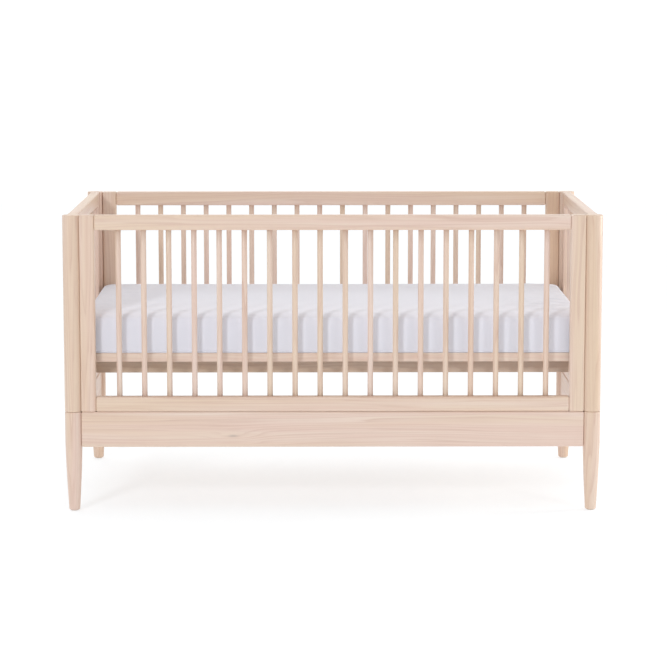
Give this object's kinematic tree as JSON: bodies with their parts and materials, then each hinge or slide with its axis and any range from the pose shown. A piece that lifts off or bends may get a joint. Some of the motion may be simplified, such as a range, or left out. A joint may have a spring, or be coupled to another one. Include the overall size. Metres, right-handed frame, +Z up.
{
  "type": "baby crib",
  "caption": "Wooden baby crib with spindle sides, turned corner posts on tapered legs, apron boards, a slatted height-adjustable mattress support and a mattress.",
  "frame": {"origin": "on the floor under the middle of the crib", "axes": "+X along the crib's length to its right end, -Y out of the front, +Z up"},
  "size_m": [1.4, 0.787, 0.778],
  "materials": {
    "pine": "satin",
    "deck_pine": "matte",
    "bracket_steel": "satin",
    "glide_plastic": "matte",
    "sheet_cotton": "matte"
  },
  "bodies": {
    "crib_frame": {"front_apron": "pine", "front_bottom_rail": "pine", "front_left_glide": "glide_plastic", "front_left_leg": "pine", "front_left_post": "pine", "front_left_stile": "pine", "front_right_glide": "glide_plastic", "front_right_leg": "pine", "front_right_post": "pine", "front_right_stile": "pine", "front_spindle_01": "pine", "front_spindle_02": "pine", "front_spindle_03": "pine", "front_spindle_04": "pine", "front_spindle_05": "pine", "front_spindle_06": "pine", "front_spindle_07": "pine", "front_spindle_08": "pine", "front_spindle_09": "pine", "front_spindle_10": "pine", "front_spindle_11": "pine", "front_spindle_12": "pine", "front_spindle_13": "pine", "front_spindle_14": "pine", "front_spindle_15": "pine", "front_spindle_16": "pine", "front_spindle_17": "pine", "front_spindle_18": "pine", "front_top_rail": "pine", "left_end_apron": "pine", "left_end_front_stile": "pine", "left_end_rear_stile": "pine", "left_end_spindle_grid": "pine", "left_end_top_rail": "pine", "rear_left_glide": "glide_plastic", "rear_left_leg": "pine", "rear_left_post": "pine", "rear_left_stile": "pine", "rear_right_glide": "glide_plastic", "rear_right_leg": "pine", "rear_right_post": "pine", "rear_right_stile": "pine", "rear_spindle_grid": "pine", "rear_top_rail": "pine", "right_end_apron": "pine", "right_end_front_stile": "pine", "right_end_rear_stile": "pine", "right_end_spindle_grid": "pine", "right_end_top_rail": "pine"},
    "mattress_support": {"front_left_bracket": "bracket_steel", "front_right_bracket": "bracket_steel", "rear_left_bracket": "bracket_steel", "rear_right_bracket": "bracket_steel", "slat_deck": "deck_pine", "support_front_rail": "deck_pine", "support_left_rail": "deck_pine", "support_rear_rail": "deck_pine", "support_right_rail": "deck_pine"},
    "mattress": {"mattress": "sheet_cotton"}
  },
  "joints": [
    {"name": "mattress_height", "type": "slide", "parent": "crib_frame", "child": "mattress_support", "axis": [0, 0, 1], "range_m": [-0.15, 0]},
    {"name": "mattress_lift", "type": "slide", "parent": "mattress_support", "child": "mattress", "axis": [0, 0, 1], "range_m": [0, 0.4]}
  ]
}
